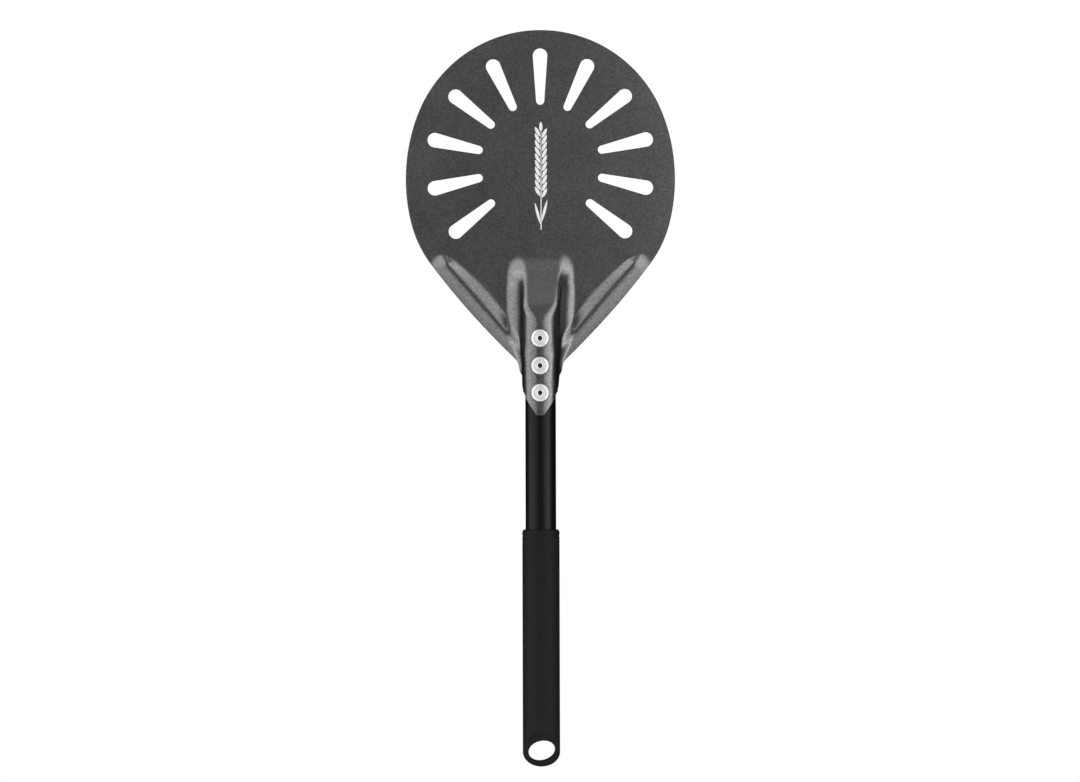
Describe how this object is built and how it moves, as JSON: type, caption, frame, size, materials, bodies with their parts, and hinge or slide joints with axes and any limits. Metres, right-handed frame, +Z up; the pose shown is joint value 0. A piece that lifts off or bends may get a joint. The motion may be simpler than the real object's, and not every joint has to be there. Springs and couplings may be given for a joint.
{
  "type": "pizza peel",
  "caption": "Turning peel for pizza: a round perforated sheet-metal blade with a pressed neck riveted over a tubular handle with a moulded grip and a hanging eye.",
  "frame": {"origin": "on the blade's underside, under the centre of the ring of slots", "axes": "+Y along the peel towards the blade's tip, with the handle along -Y; +X across the blade; +Z up out of the blade's serving face"},
  "size_m": [0.2026, 0.5538, 0.0296],
  "materials": {
    "blade_sheet": "sand-blasted and hard-anodised dark grey",
    "tube_finish": "satin black anodised",
    "grip_plastic": "matte black, moulded",
    "rivet_body": "bright, as formed",
    "rivet_mandrel": "plain steel"
  },
  "bodies": {
    "root": {"blade": "blade_sheet", "handle_tube": "tube_finish", "grip": "grip_plastic", "rivet_body_front": "rivet_body", "rivet_mandrel_front": "rivet_mandrel", "rivet_body_middle": "rivet_body", "rivet_mandrel_middle": "rivet_mandrel", "rivet_body_rear": "rivet_body", "rivet_mandrel_rear": "rivet_mandrel"}
  },
  "joints": []
}
